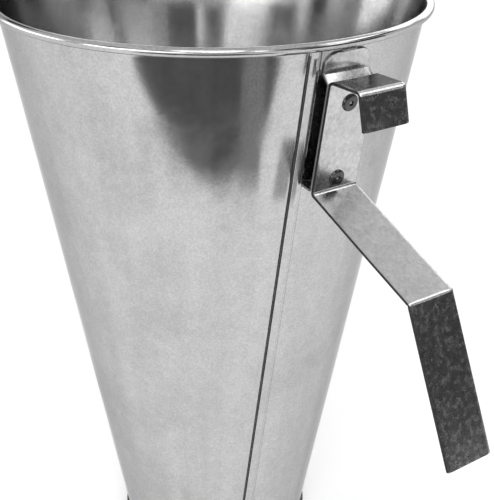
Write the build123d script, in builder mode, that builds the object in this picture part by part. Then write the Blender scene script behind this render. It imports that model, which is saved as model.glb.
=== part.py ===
from build123d import *

import os
from math import asin, atan2, cos, degrees, hypot, radians, sin, sqrt, tan

# A hanging sheet-metal funnel: a steep cone that is open at both ends, with a wired rim,
# a folded seam, a rubber edge trim on the outlet and a riveted flat-strip hanger.
# All sizes are in millimetres and all angles in degrees.
# The cone's axis is Z, the outlet trim stands on z = 0, and the hanger points along +X.

# ---- Cone ----
rim_diameter = 255.0  # over the wired bead
outlet_diameter = 121.0  # outside of the sheet at its lower edge
funnel_height = 369.0  # from the foot of the trim to the top of the bead
sheet_thickness = 0.7

# ---- Wired rim ----
rim_wire_diameter = 3.5
wire_clearance = 0.05  # radial, between the wire and the sheet curled round it
curl_slit = 0.5  # where the curl stops short of the wall

# ---- Folded seam, a band on the outside of the cone ----
seam_width = 6.0
seam_rise = 1.3  # how far it stands out of the wall
seam_top_offset = -20.3  # sideways from the hanger's middle plane, under the rim
seam_bottom_offset = -18.3  # the same, above the trim
seam_end_gap = 1.5  # left free under the bead and above the trim

# ---- Outlet edge trim, a rubber channel pushed over the sheet ----
trim_height = 8.0
trim_wall = 2.2  # of the thinner, inner side and of the outer side
trim_floor = 2.0  # under the sheet's edge
trim_clearance = 0.05
trim_edge_radius = 0.9

# ---- Stand-off plate between the cone and the hanger ----
standoff_width = 30.0
standoff_thickness = 1.2
standoff_gap = 4.0  # from the wall to the back of the plate
ear_height = 11.0  # the part that lies on the wall, above the joggle
ear_corner_radius = 7.0
ear_rim_gap = 2.0  # from the bead's underside down to the ear's top edge
joggle_height = 4.0  # along the wall, where the plate steps out
standoff_bend_radius = 0.9  # inside of each bend
lip_rise = 1.5  # from the strip's lower bend up to the plate's bent-in lip
contact_clearance = 0.02  # between faces that touch

# ---- Hanger, one flat strip bent four times ----
strip_width = 30.0
strip_thickness = 1.5
bend_radius = 2.0  # inside of each bend
hook_below_rim = 20.0  # from the top of the bead down to the top of the hook
hook_reach = 21.5
tab_length = 19.5
tab_lean = 13.5  # outwards from straight down
plate_length = 64.5  # along the wall, from the hook's top to the lower bend
arm_length = 83.0
arm_slope = 22.5  # down from level
leg_length = 86.0
leg_lean = 25.0  # outwards from straight down
end_corner_radius = 1.0

# ---- Blind rivets through the strip and the stand-off plate ----
upper_rivet_drop = 13.0  # along the wall, below the hook's top
lower_rivet_rise = 7.5  # along the wall, above the lower bend
rivet_hole_diameter = 4.9
rivet_shank_diameter = 4.8
rivet_flange_diameter = 9.5
rivet_flange_height = 1.4
rivet_flange_edge = 0.35  # height of the flange's upright rim, under its dome
rivet_bulb_diameter = 7.2
rivet_bulb_height = 3.0
mandrel_diameter = 2.6
mandrel_clearance = 0.03
mandrel_recess = 0.5  # how far the broken end lies below the flange's top
mandrel_mouth = 0.5  # width of the flat ring round the mandrel's hole
mandrel_head_diameter = 4.2
mandrel_head_height = 0.6

# ---- Weld deposits ----
ear_weld_width = 10.0
lip_weld_width = 5.0
lip_weld_spacing = 20.0
weld_leg = 1.3

# ---- Sizes worked out from the ones above ----
wire_bore_radius = rim_wire_diameter / 2 + wire_clearance
bead_radius = wire_bore_radius + sheet_thickness
bead_centre_radius = rim_diameter / 2 - bead_radius
bead_centre_height = funnel_height - bead_radius
sheet_bottom = trim_floor + trim_clearance
outlet_radius = outlet_diameter / 2

# The wall runs up from the outlet and meets the curl round the wire as a tangent.
wall_run = bead_centre_radius - outlet_radius
wall_rise = bead_centre_height - sheet_bottom
wall_lean = degrees(atan2(wall_run, wall_rise) - asin(wire_bore_radius / hypot(wall_run, wall_rise)))
lean_sin = sin(radians(wall_lean))
lean_cos = cos(radians(wall_lean))
lean_tan = tan(radians(wall_lean))


def wall_radius(height):
    """Outside radius of the cone's wall at a height."""
    return outlet_radius + (height - sheet_bottom) * lean_tan


def wall_point(height, offset):
    """Point (radius, height) at a height that stands off the wall by offset, square to the wall."""
    return (wall_radius(height) + offset / lean_cos, height)


def along_wall(start, distance):
    """Point (radius, height) a distance down the wall's slope from start."""
    return (start[0] - distance * lean_sin, start[1] - distance * lean_cos)


def off_wall(start, distance):
    """Point (radius, height) a distance out from start, square to the wall."""
    return (start[0] + distance * lean_cos, start[1] - distance * lean_sin)


def finish(part, name):
    """Label a piece and write its STEP file, which is named after it."""
    part.label = name
    export_step(part, "parts/" + name + ".step")


os.makedirs("parts", exist_ok=True)

full_turn = 360
section = Plane.XZ  # sketch x is the radius and sketch y is the height

# ---- Cone shell: the wall and the curl round the rim wire, revolved, and the seam ----
wall_top_outer = (
    bead_centre_radius - wire_bore_radius * lean_cos,
    bead_centre_height + wire_bore_radius * lean_sin,
)
wall_top_inner = (
    bead_centre_radius - bead_radius * lean_cos,
    bead_centre_height + bead_radius * lean_sin,
)
wall_bottom_outer = (outlet_radius, sheet_bottom)
wall_bottom_inner = (outlet_radius - sheet_thickness / lean_cos, sheet_bottom)
slit_start = off_wall(wall_top_outer, curl_slit / 2)
slit_middle = along_wall(slit_start, bead_radius)

seam_top = bead_centre_height - bead_radius - seam_end_gap
seam_bottom = trim_height + seam_end_gap
seam_depth = seam_rise + sheet_thickness / 2  # it starts in the middle of the sheet


def seam_centre(height, offset):
    """Radius, square to Y, at which the seam's middle crosses a height."""
    sheet_middle = wall_radius(height) - sheet_thickness / 2
    return sqrt(sheet_middle**2 - offset**2)


def seam_plane(height, offset):
    """Level plane at a height, centred on the seam with its x axis pointing straight out."""
    centre = seam_centre(height, offset)
    return Plane(origin=(centre, offset, height), x_dir=(centre, offset, 0), z_dir=(0, 0, 1))


with BuildPart() as cone_shell:
    with BuildSketch(section):
        with Locations((bead_centre_radius, bead_centre_height)):
            Circle(bead_radius)
            Circle(wire_bore_radius, mode=Mode.SUBTRACT)
        with Locations(slit_middle):
            Rectangle(curl_slit, 2 * bead_radius, rotation=-wall_lean, mode=Mode.SUBTRACT)
        with BuildLine():
            Polyline(wall_bottom_outer, wall_top_outer, wall_top_inner, wall_bottom_inner, close=True)
        make_face()
    revolve(axis=Axis.Z, revolution_arc=full_turn)
    for seam_height, seam_offset in ((seam_bottom, seam_bottom_offset), (seam_top, seam_top_offset)):
        with BuildSketch(seam_plane(seam_height, seam_offset)):
            Rectangle(seam_depth, seam_width, align=(Align.MIN, Align.CENTER))
    loft(ruled=True)

# ---- Rim wire, a closed steel hoop inside the curl ----
with BuildPart() as rim_wire:
    with BuildSketch(section):
        with Locations((bead_centre_radius, bead_centre_height)):
            Circle(rim_wire_diameter / 2)
    revolve(axis=Axis.Z, revolution_arc=full_turn)

# ---- Outlet trim: a channel with a slot that follows the wall ----
slot_top = trim_height + trim_wall  # past the trim's top, so that the cut is clean
slot_outer = trim_clearance
slot_inner = sheet_thickness + trim_clearance
trim_bore_radius = wall_bottom_inner[0] - trim_clearance - trim_wall
trim_outer_bottom = outlet_radius + trim_wall
trim_outer_top = wall_radius(trim_height) + trim_wall

with BuildPart() as outlet_trim:
    with BuildSketch(section):
        with BuildLine() as trim_outline:
            Polyline(
                (trim_bore_radius, 0),
                (trim_outer_bottom, 0),
                (trim_outer_top, trim_height),
                (trim_bore_radius, trim_height),
                close=True,
            )
            upper_corners = trim_outline.vertices().group_by(Axis.Y)[-1]
            outer_foot = trim_outline.vertices().group_by(Axis.Y)[0].sort_by(Axis.X)[-1]
            fillet([*upper_corners, outer_foot], trim_edge_radius)
        make_face()
        with BuildLine():
            Polyline(
                (outlet_radius + slot_outer, trim_floor),
                (wall_radius(slot_top) + slot_outer, slot_top),
                (wall_radius(slot_top) - slot_inner / lean_cos, slot_top),
                (outlet_radius - slot_inner / lean_cos, trim_floor),
                close=True,
            )
        make_face(mode=Mode.SUBTRACT)
    revolve(axis=Axis.Z, revolution_arc=full_turn)

# ---- Hanger strip: its middle line, then its thickness and width ----
hook_top = funnel_height - hook_below_rim
strip_middle_offset = standoff_gap + standoff_thickness + contact_clearance + strip_thickness / 2
middle_bend_radius = bend_radius + strip_thickness / 2
hook_back = wall_point(hook_top - strip_thickness / 2, strip_middle_offset)
hook_front = (hook_back[0] + hook_reach, hook_back[1])
tab_end = (
    hook_front[0] + tab_length * sin(radians(tab_lean)),
    hook_front[1] - tab_length * cos(radians(tab_lean)),
)
lower_bend = along_wall(hook_back, plate_length)
knee = (
    lower_bend[0] + arm_length * cos(radians(arm_slope)),
    lower_bend[1] - arm_length * sin(radians(arm_slope)),
)
leg_end = (
    knee[0] + leg_length * sin(radians(leg_lean)),
    knee[1] - leg_length * cos(radians(leg_lean)),
)

upper_rivet_spot = along_wall(hook_back, upper_rivet_drop)
lower_rivet_spot = along_wall(hook_back, plate_length - lower_rivet_rise)
rivet_spots = {"upper": upper_rivet_spot, "lower": lower_rivet_spot}
outward = (lean_cos, 0, -lean_sin)  # square to the wall, in the hanger's middle plane
sideways = (0, 1, 0)
grip = strip_thickness + contact_clearance + standoff_thickness


def front_point(spot):
    """Place on the strip's front face, straight out from a spot on its middle line."""
    front = off_wall(spot, strip_thickness / 2)
    return (front[0], 0, front[1])


def hole_plane(spot):
    """Plane on the strip's front face that faces outwards, for a rivet hole."""
    return Plane(origin=front_point(spot), x_dir=sideways, z_dir=outward)


def rivet_section(spot):
    """Plane through a rivet's axis: its y axis points outwards, and its x axis points sideways."""
    return Plane(origin=front_point(spot), x_dir=sideways, z_dir=(-lean_sin, 0, -lean_cos))


def rivet_axis(spot):
    """The axis that a rivet is turned about."""
    return Axis(front_point(spot), outward)


with BuildPart() as hanger_strip:
    with BuildSketch(section):
        with BuildLine():
            FilletPolyline(
                tab_end,
                hook_front,
                hook_back,
                lower_bend,
                knee,
                leg_end,
                radius=middle_bend_radius,
            )
        trace(line_width=strip_thickness)
    extrude(amount=strip_width / 2, both=True)
    corners = hanger_strip.edges().filter_by(
        lambda edge: abs(edge.length - strip_thickness) < contact_clearance
    )
    fillet(corners, end_corner_radius)
    for spot in rivet_spots.values():
        with BuildSketch(hole_plane(spot)):
            Circle(rivet_hole_diameter / 2)
        extrude(amount=grip, both=True, mode=Mode.SUBTRACT)

# ---- Stand-off plate: an ear on the wall, a joggle, the flat behind the strip, and a lip ----
ear_top = wall_point(bead_centre_height - bead_radius - ear_rim_gap, standoff_thickness / 2)
ear_foot = along_wall(ear_top, ear_height)
plate_middle_offset = standoff_gap + standoff_thickness / 2
flat_top = off_wall(along_wall(ear_foot, joggle_height), standoff_gap)
flat_bottom = off_wall(
    along_wall(hook_back, plate_length - lip_rise), plate_middle_offset - strip_middle_offset
)
# The wall curves away behind the plate's sides, so the ear and the lip start deeper than the wall.
side_sagitta = standoff_width**2 / (8 * wall_radius(flat_bottom[1]))
root_depth = side_sagitta + standoff_thickness
joggle_root = (
    ear_foot[0] - (flat_top[0] - ear_foot[0]) * root_depth / standoff_gap,
    ear_foot[1] - (flat_top[1] - ear_foot[1]) * root_depth / standoff_gap,
)
lip_end = off_wall(flat_bottom, -plate_middle_offset - root_depth)
standoff_middle_radius = standoff_bend_radius + standoff_thickness / 2

with BuildPart() as standoff_plate:
    with BuildSketch(section):
        with BuildLine():
            FilletPolyline(joggle_root, flat_top, flat_bottom, lip_end, radius=standoff_middle_radius)
        trace(line_width=standoff_thickness)
        with BuildLine():
            Polyline(
                off_wall(ear_top, standoff_thickness / 2),
                off_wall(ear_top, -root_depth),
                off_wall(ear_foot, -root_depth),
                off_wall(ear_foot, standoff_thickness / 2),
                close=True,
            )
        make_face()
    extrude(amount=standoff_width / 2, both=True)
    # Outside of the ear, which curves with the wall.
    with BuildSketch(section):
        with BuildLine():
            Polyline(
                off_wall(ear_foot, standoff_thickness / 2),
                off_wall(ear_foot, standoff_gap + standoff_thickness),
                off_wall(along_wall(ear_top, -ear_rim_gap), standoff_gap + standoff_thickness),
                off_wall(along_wall(ear_top, -ear_rim_gap), standoff_thickness / 2),
                close=True,
            )
        make_face()
    revolve(axis=Axis.Z, revolution_arc=full_turn, mode=Mode.SUBTRACT)
    # Everything that would lie inside the cone's wall.
    with BuildSketch(section):
        with BuildLine():
            Polyline(
                (0, sheet_bottom),
                wall_point(sheet_bottom, contact_clearance),
                wall_point(bead_centre_height, contact_clearance),
                (0, bead_centre_height),
                close=True,
            )
        make_face()
    revolve(axis=Axis.Z, revolution_arc=full_turn, mode=Mode.SUBTRACT)
    ear_corners = standoff_plate.faces().filter_by(Axis.Y).edges().group_by(Axis.Z)[-1]
    fillet(ear_corners, ear_corner_radius)
    for spot in rivet_spots.values():
        with BuildSketch(hole_plane(spot)):
            Circle(rivet_hole_diameter / 2)
        extrude(amount=-2 * grip, mode=Mode.SUBTRACT)

# ---- Blind rivets: each has a hollow body and the broken mandrel left inside it ----
flange_radius = rivet_flange_diameter / 2
shank_radius = rivet_shank_diameter / 2
bulb_radius = rivet_bulb_diameter / 2
stem_radius = mandrel_diameter / 2
bore_radius = stem_radius + mandrel_clearance
mandrel_head_radius = mandrel_head_diameter / 2
bulb_start = -grip - contact_clearance
bulb_end = bulb_start - rivet_bulb_height
mouth_radius = bore_radius + mandrel_mouth
dome_middle_radius = (mouth_radius + flange_radius) / 2
dome_middle_height = rivet_flange_height - (rivet_flange_height - rivet_flange_edge) / 3


def rivet_body(spot):
    """The rivet's hollow body: domed flange, shank and the bulb set behind the plate."""
    with BuildPart() as body:
        with BuildSketch(rivet_section(spot)):
            with BuildLine():
                Polyline(
                    (mouth_radius, rivet_flange_height),
                    (bore_radius, rivet_flange_height),
                    (bore_radius, bulb_end),
                    (bulb_radius, bulb_end),
                    (bulb_radius, bulb_start),
                    (shank_radius, bulb_start),
                    (shank_radius, contact_clearance),
                    (flange_radius, contact_clearance),
                    (flange_radius, rivet_flange_edge),
                )
                ThreePointArc(
                    (flange_radius, rivet_flange_edge),
                    (dome_middle_radius, dome_middle_height),
                    (mouth_radius, rivet_flange_height),
                )
            make_face()
        revolve(axis=rivet_axis(spot), revolution_arc=full_turn)
    return body.part


def rivet_mandrel(spot):
    """The mandrel's stem, broken off inside the flange, and its head behind the bulb."""
    stem_end = rivet_flange_height - mandrel_recess
    head_start = bulb_end - contact_clearance
    with BuildPart() as mandrel:
        with BuildSketch(rivet_section(spot)):
            with BuildLine():
                Polyline(
                    (0, stem_end),
                    (stem_radius, stem_end),
                    (stem_radius, head_start),
                    (mandrel_head_radius, head_start),
                    (stem_radius, head_start - mandrel_head_height),
                    (0, head_start - mandrel_head_height),
                    close=True,
                )
            make_face()
        revolve(axis=rivet_axis(spot), revolution_arc=full_turn)
    return mandrel.part


# ---- Weld deposits: fillets that follow the wall ----
def turned_section(angle):
    """Plane through the cone's axis at an angle about Z: x is the radius and y the height."""
    turn = radians(angle)
    return Plane(origin=(0, 0, 0), x_dir=(cos(turn), sin(turn), 0), z_dir=(sin(turn), -cos(turn), 0))


def weld_outline(corner, direction):
    """Three corners of a fillet weld: its root, its toe on the wall and its toe on the plate."""
    root = off_wall(along_wall(corner, direction * contact_clearance), 2 * contact_clearance)
    wall_toe = along_wall(root, direction * weld_leg)
    plate_toe = off_wall(root, standoff_thickness)
    return (root, wall_toe, plate_toe)


def weld_width_angle(width, height):
    """Angle about Z that a width spans on the wall at a height."""
    return degrees(width / wall_radius(height))


upwards = -1
downwards = 1
ear_weld_corner = off_wall(ear_top, -standoff_thickness / 2)
lip_under = along_wall(flat_bottom, standoff_thickness / 2)
lip_weld_corner = off_wall(lip_under, -plate_middle_offset)
ear_weld_angle = weld_width_angle(ear_weld_width, ear_weld_corner[1])
lip_weld_angle = weld_width_angle(lip_weld_width, lip_weld_corner[1])
lip_weld_turn = weld_width_angle(lip_weld_spacing / 2, lip_weld_corner[1])

with BuildPart() as ear_weld:
    with BuildSketch(turned_section(-ear_weld_angle / 2)):
        Polygon(*weld_outline(ear_weld_corner, upwards), align=None)
    revolve(axis=Axis.Z, revolution_arc=ear_weld_angle)

with BuildPart() as lip_welds:
    for side in (-1, 1):
        with BuildSketch(turned_section(side * lip_weld_turn - lip_weld_angle / 2)):
            Polygon(*weld_outline(lip_weld_corner, downwards), align=None)
        revolve(axis=Axis.Z, revolution_arc=lip_weld_angle)

# ---- Output: one STEP file per piece ----
finish(cone_shell.part, "cone_shell")
finish(rim_wire.part, "rim_wire")
finish(outlet_trim.part, "outlet_trim")
finish(hanger_strip.part, "hanger_strip")
finish(standoff_plate.part, "standoff_plate")
finish(ear_weld.part, "ear_weld")
finish(lip_welds.part, "lip_welds")
for place, spot in rivet_spots.items():
    finish(rivet_body(spot), place + "_rivet_body")
    finish(rivet_mandrel(spot), place + "_rivet_mandrel")
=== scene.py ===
"""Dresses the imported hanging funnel: its sheet, seam, rim, hanger, rivets, welds and finishes."""

from __future__ import annotations

import logging
import math
from dataclasses import dataclass, field
from enum import Enum
from typing import Sequence

import bmesh
import bpy
from mathutils import Matrix, Vector, noise


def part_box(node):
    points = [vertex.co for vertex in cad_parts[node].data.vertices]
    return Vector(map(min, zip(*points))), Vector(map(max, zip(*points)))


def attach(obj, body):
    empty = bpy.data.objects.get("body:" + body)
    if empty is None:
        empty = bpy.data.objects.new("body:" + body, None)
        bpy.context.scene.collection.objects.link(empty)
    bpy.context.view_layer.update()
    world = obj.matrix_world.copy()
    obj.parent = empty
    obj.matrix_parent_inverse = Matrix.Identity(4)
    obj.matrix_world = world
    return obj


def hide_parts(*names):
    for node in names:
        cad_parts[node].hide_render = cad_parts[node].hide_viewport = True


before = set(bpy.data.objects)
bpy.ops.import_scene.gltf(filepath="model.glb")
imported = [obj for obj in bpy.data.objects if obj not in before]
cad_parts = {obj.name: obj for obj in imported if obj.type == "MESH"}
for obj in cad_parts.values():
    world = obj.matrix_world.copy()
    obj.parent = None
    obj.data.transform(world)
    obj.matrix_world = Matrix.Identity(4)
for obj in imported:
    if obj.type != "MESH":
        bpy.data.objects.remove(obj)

LOG = logging.getLogger("funnel")
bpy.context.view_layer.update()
BODY = "root"
MM = 0.001
FULL_TURN = 2.0 * math.pi

Point2 = tuple[float, float]


# ---------------------------------------------------------------------------------------------
# Geometry helpers
# ---------------------------------------------------------------------------------------------


def mix(low: float, high: float, share: float) -> float:
    """Value that lies a share of the way from low to high."""
    return low + (high - low) * share


def ease(low: float, high: float, value: float) -> float:
    """Smooth step from 0 at low to 1 at high."""
    share = min(1.0, max(0.0, (value - low) / (high - low)))
    return share * share * (3.0 - 2.0 * share)


def span(low: float, high: float, count: int) -> list[float]:
    """Evenly spaced values from low to high, both ends included."""
    return [mix(low, high, index / (count - 1)) for index in range(count)]


def arc(centre: Point2, radius: float, start: float, end: float, count: int) -> list[Point2]:
    """Points along an arc in a section plane.

    Args:
        centre: Centre of the arc.
        radius: Its radius.
        start: Start angle in radians, from the plane's first axis.
        end: End angle in radians.
        count: Number of points, both ends included.

    Returns:
        The points in order.
    """
    angles = span(start, end, count)
    return [(centre[0] + radius * math.cos(a), centre[1] + radius * math.sin(a)) for a in angles]


def make_object(
    name: str,
    rows: Sequence[Sequence[Vector]],
    loop_rows: bool = False,
    loop_columns: bool = False,
    cap_ends: bool = False,
    sharp_degrees: float = 35.0,
) -> bpy.types.Object:
    """Skin a grid of points and link the result as an object.

    Args:
        name: Name of the new object.
        rows: Rows of points, all of one length.
        loop_rows: Join the last row to the first.
        loop_columns: Join the last column to the first.
        cap_ends: Close the first and the last row with a face each.
        sharp_degrees: Edges with a larger angle stay sharp.

    Returns:
        The linked object, shaded smooth.
    """
    width = len(rows[0])
    points = [point for row in rows for point in row]
    faces: list[list[int]] = []
    row_steps = len(rows) if loop_rows else len(rows) - 1
    column_steps = width if loop_columns else width - 1
    for row in range(row_steps):
        here = row * width
        there = ((row + 1) % len(rows)) * width
        for column in range(column_steps):
            beside = (column + 1) % width
            faces.append([here + column, here + beside, there + beside, there + column])
    if cap_ends:
        faces.append(list(range(width))[::-1])
        faces.append([(len(rows) - 1) * width + column for column in range(width)])
    mesh = bpy.data.meshes.new(name)
    mesh.from_pydata([tuple(point) for point in points], [], faces)
    mesh.validate()
    mesh.polygons.foreach_set("use_smooth", [True] * len(mesh.polygons))
    mesh.set_sharp_from_angle(angle=math.radians(sharp_degrees))
    mesh.update()
    piece = bpy.data.objects.new(name, mesh)
    bpy.context.scene.collection.objects.link(piece)
    return piece


def face_outwards(piece: bpy.types.Object) -> None:
    """Turn every face of a closed piece to face outwards."""
    work = bmesh.new()
    work.from_mesh(piece.data)
    bmesh.ops.recalc_face_normals(work, faces=work.faces)
    work.to_mesh(piece.data)
    work.free()


def dress(piece: bpy.types.Object, finish: bpy.types.Material) -> None:
    """Give a piece one material."""
    piece.data.materials.clear()
    piece.data.materials.append(finish)


def place(piece: bpy.types.Object, slot: str, finish: bpy.types.Material, *nodes: str) -> None:
    """Finish a new piece, hang it on the funnel's body and report it.

    Args:
        piece: The new object.
        slot: The record's material slot that it takes.
        finish: Its material.
        *nodes: CAD nodes that it stands for.
    """
    face_outwards(piece)
    dress(piece, finish)
    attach(piece, BODY)
    if nodes:
        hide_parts(*nodes)
    LOG.info("%s: %d faces, slot %s, for %s", piece.name, len(piece.data.polygons), slot, nodes)


def waviness(angle: float, height: float) -> float:
    """How far hand-rolled sheet stands out of true, as a share of its largest error.

    Args:
        angle: Angle about Z in radians.
        height: Height in metres.

    Returns:
        A value between about -1 and 1 that changes slowly over the wall.
    """
    around = Vector((1.6 * math.cos(angle), 1.6 * math.sin(angle), 5.0 * height))
    broad = noise.noise(around)
    rolled = noise.noise(Vector((7.0 * math.cos(angle), 7.0 * math.sin(angle), 1.5 * height + 9.0)))
    return 1.2 * broad + 0.5 * rolled


# ---------------------------------------------------------------------------------------------
# Shader groups, shared by the finishes
# ---------------------------------------------------------------------------------------------


class Socket(Enum):
    """Kinds of socket that a shader group has."""

    VALUE = "NodeSocketFloat"


@dataclass
class Graph:
    """A node tree with short ways to add and join nodes."""

    tree: bpy.types.NodeTree
    column: int = 0

    def add(self, kind: str, **settings: object) -> bpy.types.Node:
        """Add a node.

        Args:
            kind: The node's type.
            **settings: Properties to set on it.

        Returns:
            The new node.
        """
        node = self.tree.nodes.new(kind)
        node.location = (200.0 * self.column, 0.0)
        self.column += 1
        for key, value in settings.items():
            setattr(node, key, value)
        return node

    def feed(self, source: object, socket: bpy.types.NodeSocket) -> None:
        """Join a socket to another socket, or set it to a constant."""
        if isinstance(source, bpy.types.NodeSocket):
            self.tree.links.new(source, socket)
        else:
            socket.default_value = source

    def math(self, operation: str, first: object, second: object = 0.0) -> bpy.types.NodeSocket:
        """Result of a Math node."""
        node = self.add("ShaderNodeMath", operation=operation)
        self.feed(first, node.inputs[0])
        self.feed(second, node.inputs[1])
        return node.outputs[0]

    def noise(
        self, vector: object, scale: float, detail: float = 3.0, roughness: float = 0.5
    ) -> bpy.types.NodeSocket:
        """Factor of a noise texture."""
        node = self.add("ShaderNodeTexNoise")
        self.feed(vector, node.inputs["Vector"])
        self.feed(scale, node.inputs["Scale"])
        self.feed(detail, node.inputs["Detail"])
        self.feed(roughness, node.inputs["Roughness"])
        return node.outputs["Fac"]

    def spread(
        self, value: object, low: float, high: float, to_low: float, to_high: float
    ) -> bpy.types.NodeSocket:
        """Value mapped from one range to another, clamped and smooth."""
        node = self.add("ShaderNodeMapRange", interpolation_type="SMOOTHSTEP")
        self.feed(value, node.inputs["Value"])
        for name, number in zip(
            ("From Min", "From Max", "To Min", "To Max"), (low, high, to_low, to_high)
        ):
            node.inputs[name].default_value = number
        return node.outputs["Result"]

    def blend(self, factor: object, first: object, second: object) -> bpy.types.NodeSocket:
        """Colour that goes from first to second with the factor."""
        node = self.add("ShaderNodeMix", data_type="RGBA")
        self.feed(factor, node.inputs["Factor"])
        self.feed(first, node.inputs[6])
        self.feed(second, node.inputs[7])
        return node.outputs[2]

    def grey(self, value: object) -> bpy.types.NodeSocket:
        """Grey colour of a value."""
        node = self.add("ShaderNodeCombineColor")
        for socket in node.inputs[:3]:
            self.feed(value, socket)
        return node.outputs[0]

    def group(self, group: bpy.types.NodeTree, **values: float) -> bpy.types.Node:
        """Place a shader group and set its inputs, named with _ for spaces."""
        node = self.add("ShaderNodeGroup", node_tree=group)
        for key, value in values.items():
            self.feed(value, node.inputs[key.replace("_", " ").title()])
        return node


@dataclass(frozen=True)
class GroupPlan:
    """Names and kinds of a shader group's sockets."""

    name: str
    inputs: tuple[tuple[str, Socket, float], ...]
    outputs: tuple[tuple[str, Socket], ...]

    def start(self) -> tuple[bpy.types.NodeTree, Graph, bpy.types.Node, bpy.types.Node]:
        """Make the empty group.

        Returns:
            The group, a graph on it, its input node and its output node.
        """
        tree = bpy.data.node_groups.new(self.name, "ShaderNodeTree")
        for label, kind, default in self.inputs:
            socket = tree.interface.new_socket(label, in_out="INPUT", socket_type=kind.value)
            socket.default_value = default
        for label, kind in self.outputs:
            tree.interface.new_socket(label, in_out="OUTPUT", socket_type=kind.value)
        graph = Graph(tree)
        return tree, graph, graph.add("NodeGroupInput"), graph.add("NodeGroupOutput")


def spangle_group() -> bpy.types.NodeTree:
    """Zinc's frosty crystals: a tone and a height that change from crystal to crystal.

    Returns:
        The shader group.
    """
    plan = GroupPlan(
        "zinc_spangle",
        (("Size", Socket.VALUE, 0.006), ("Contrast", Socket.VALUE, 0.2)),
        (("Tone", Socket.VALUE), ("Height", Socket.VALUE)),
    )
    tree, graph, given, result = plan.start()
    place_on = graph.add("ShaderNodeTexCoord").outputs["Object"]
    per_metre = graph.math("DIVIDE", 1.0, given.outputs["Size"])
    warp = graph.add("ShaderNodeTexNoise")
    graph.feed(place_on, warp.inputs["Vector"])
    graph.feed(per_metre, warp.inputs["Scale"])
    warp.inputs["Detail"].default_value = 2.0
    pushed = graph.add("ShaderNodeVectorMath", operation="MULTIPLY_ADD")
    graph.feed(warp.outputs["Color"], pushed.inputs[0])
    pushed.inputs[1].default_value = (0.004, 0.004, 0.004)
    graph.feed(place_on, pushed.inputs[2])
    crystals = graph.add("ShaderNodeTexVoronoi", feature="SMOOTH_F1")
    graph.feed(pushed.outputs[0], crystals.inputs["Vector"])
    graph.feed(per_metre, crystals.inputs["Scale"])
    crystals.inputs["Smoothness"].default_value = 0.35
    shade = graph.add("ShaderNodeSeparateColor")
    graph.feed(crystals.outputs["Color"], shade.inputs[0])
    centred = graph.math("SUBTRACT", shade.outputs[0], 0.5)
    scaled = graph.math("MULTIPLY", centred, given.outputs["Contrast"])
    graph.feed(graph.math("ADD", scaled, 1.0), result.inputs["Tone"])
    graph.feed(crystals.outputs["Distance"], result.inputs["Height"])
    return tree


def stain_group() -> bpy.types.NodeTree:
    """Handling marks and dull patches: a mask that is 1 in a stain and 0 outside.

    Returns:
        The shader group.
    """
    plan = GroupPlan(
        "handling_stains",
        (("Size", Socket.VALUE, 0.05), ("Amount", Socket.VALUE, 0.5)),
        (("Mask", Socket.VALUE), ("Specks", Socket.VALUE)),
    )
    tree, graph, given, result = plan.start()
    place_on = graph.add("ShaderNodeTexCoord").outputs["Object"]
    per_metre = graph.math("DIVIDE", 1.0, given.outputs["Size"])
    patches = graph.noise(place_on, per_metre, 6.0, 0.62)
    soft = graph.spread(patches, 0.42, 0.68, 0.0, 1.0)
    graph.feed(graph.math("MULTIPLY", soft, given.outputs["Amount"]), result.inputs["Mask"])
    fine = graph.noise(place_on, graph.math("MULTIPLY", per_metre, 22.0), 2.0, 0.5)
    dots = graph.spread(fine, 0.68, 0.76, 0.0, 1.0)
    graph.feed(graph.math("MULTIPLY", dots, given.outputs["Amount"]), result.inputs["Specks"])
    return tree


def rolling_group() -> bpy.types.NodeTree:
    """Streaks that the rolls leave along the cone's slope, from rim to outlet.

    Returns:
        The shader group.
    """
    plan = GroupPlan(
        "rolling_streaks",
        (("Count", Socket.VALUE, 30.0), ("Length", Socket.VALUE, 3.0)),
        (("Streaks", Socket.VALUE),),
    )
    tree, graph, given, result = plan.start()
    place_on = graph.add("ShaderNodeTexCoord").outputs["Object"]
    split = graph.add("ShaderNodeSeparateXYZ")
    graph.feed(place_on, split.inputs[0])
    turn = graph.math("ARCTAN2", split.outputs["Y"], split.outputs["X"])
    around = graph.math("MULTIPLY", turn, given.outputs["Count"])
    along = graph.math("MULTIPLY", split.outputs["Z"], given.outputs["Length"])
    joined = graph.add("ShaderNodeCombineXYZ")
    graph.feed(around, joined.inputs["X"])
    graph.feed(along, joined.inputs["Y"])
    graph.feed(graph.noise(joined.outputs[0], 1.0, 4.0, 0.55), result.inputs["Streaks"])
    return tree


def wear_and_crease_shade_group() -> bpy.types.NodeTree:
    """Edge wear, and painted shade in creases and hollows, from how the surface bends.

    Returns:
        The shader group.
    """
    plan = GroupPlan(
        "edge_wear_and_crease_shade",
        (("Reach", Socket.VALUE, 0.5), ("Breakup", Socket.VALUE, 300.0)),
        (("Worn", Socket.VALUE), ("Crease Shade", Socket.VALUE)),
    )
    tree, graph, given, result = plan.start()
    bend = graph.add("ShaderNodeNewGeometry").outputs["Pointiness"]
    place_on = graph.add("ShaderNodeTexCoord").outputs["Object"]
    ragged = graph.noise(place_on, given.outputs["Breakup"], 3.0, 0.6)
    raised = graph.spread(bend, 0.51, 0.6, 0.0, 1.0)
    worn = graph.math("MULTIPLY", raised, graph.spread(ragged, 0.35, 0.6, 0.0, 1.0))
    graph.feed(graph.math("MULTIPLY", worn, given.outputs["Reach"]), result.inputs["Worn"])
    # Painted shade: a mask that is high in concave places, where shade falls.
    sunk = graph.spread(bend, 0.4, 0.485, 1.0, 0.0)
    graph.feed(graph.math("MULTIPLY", sunk, given.outputs["Reach"]), result.inputs["Crease Shade"])
    return tree


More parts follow.
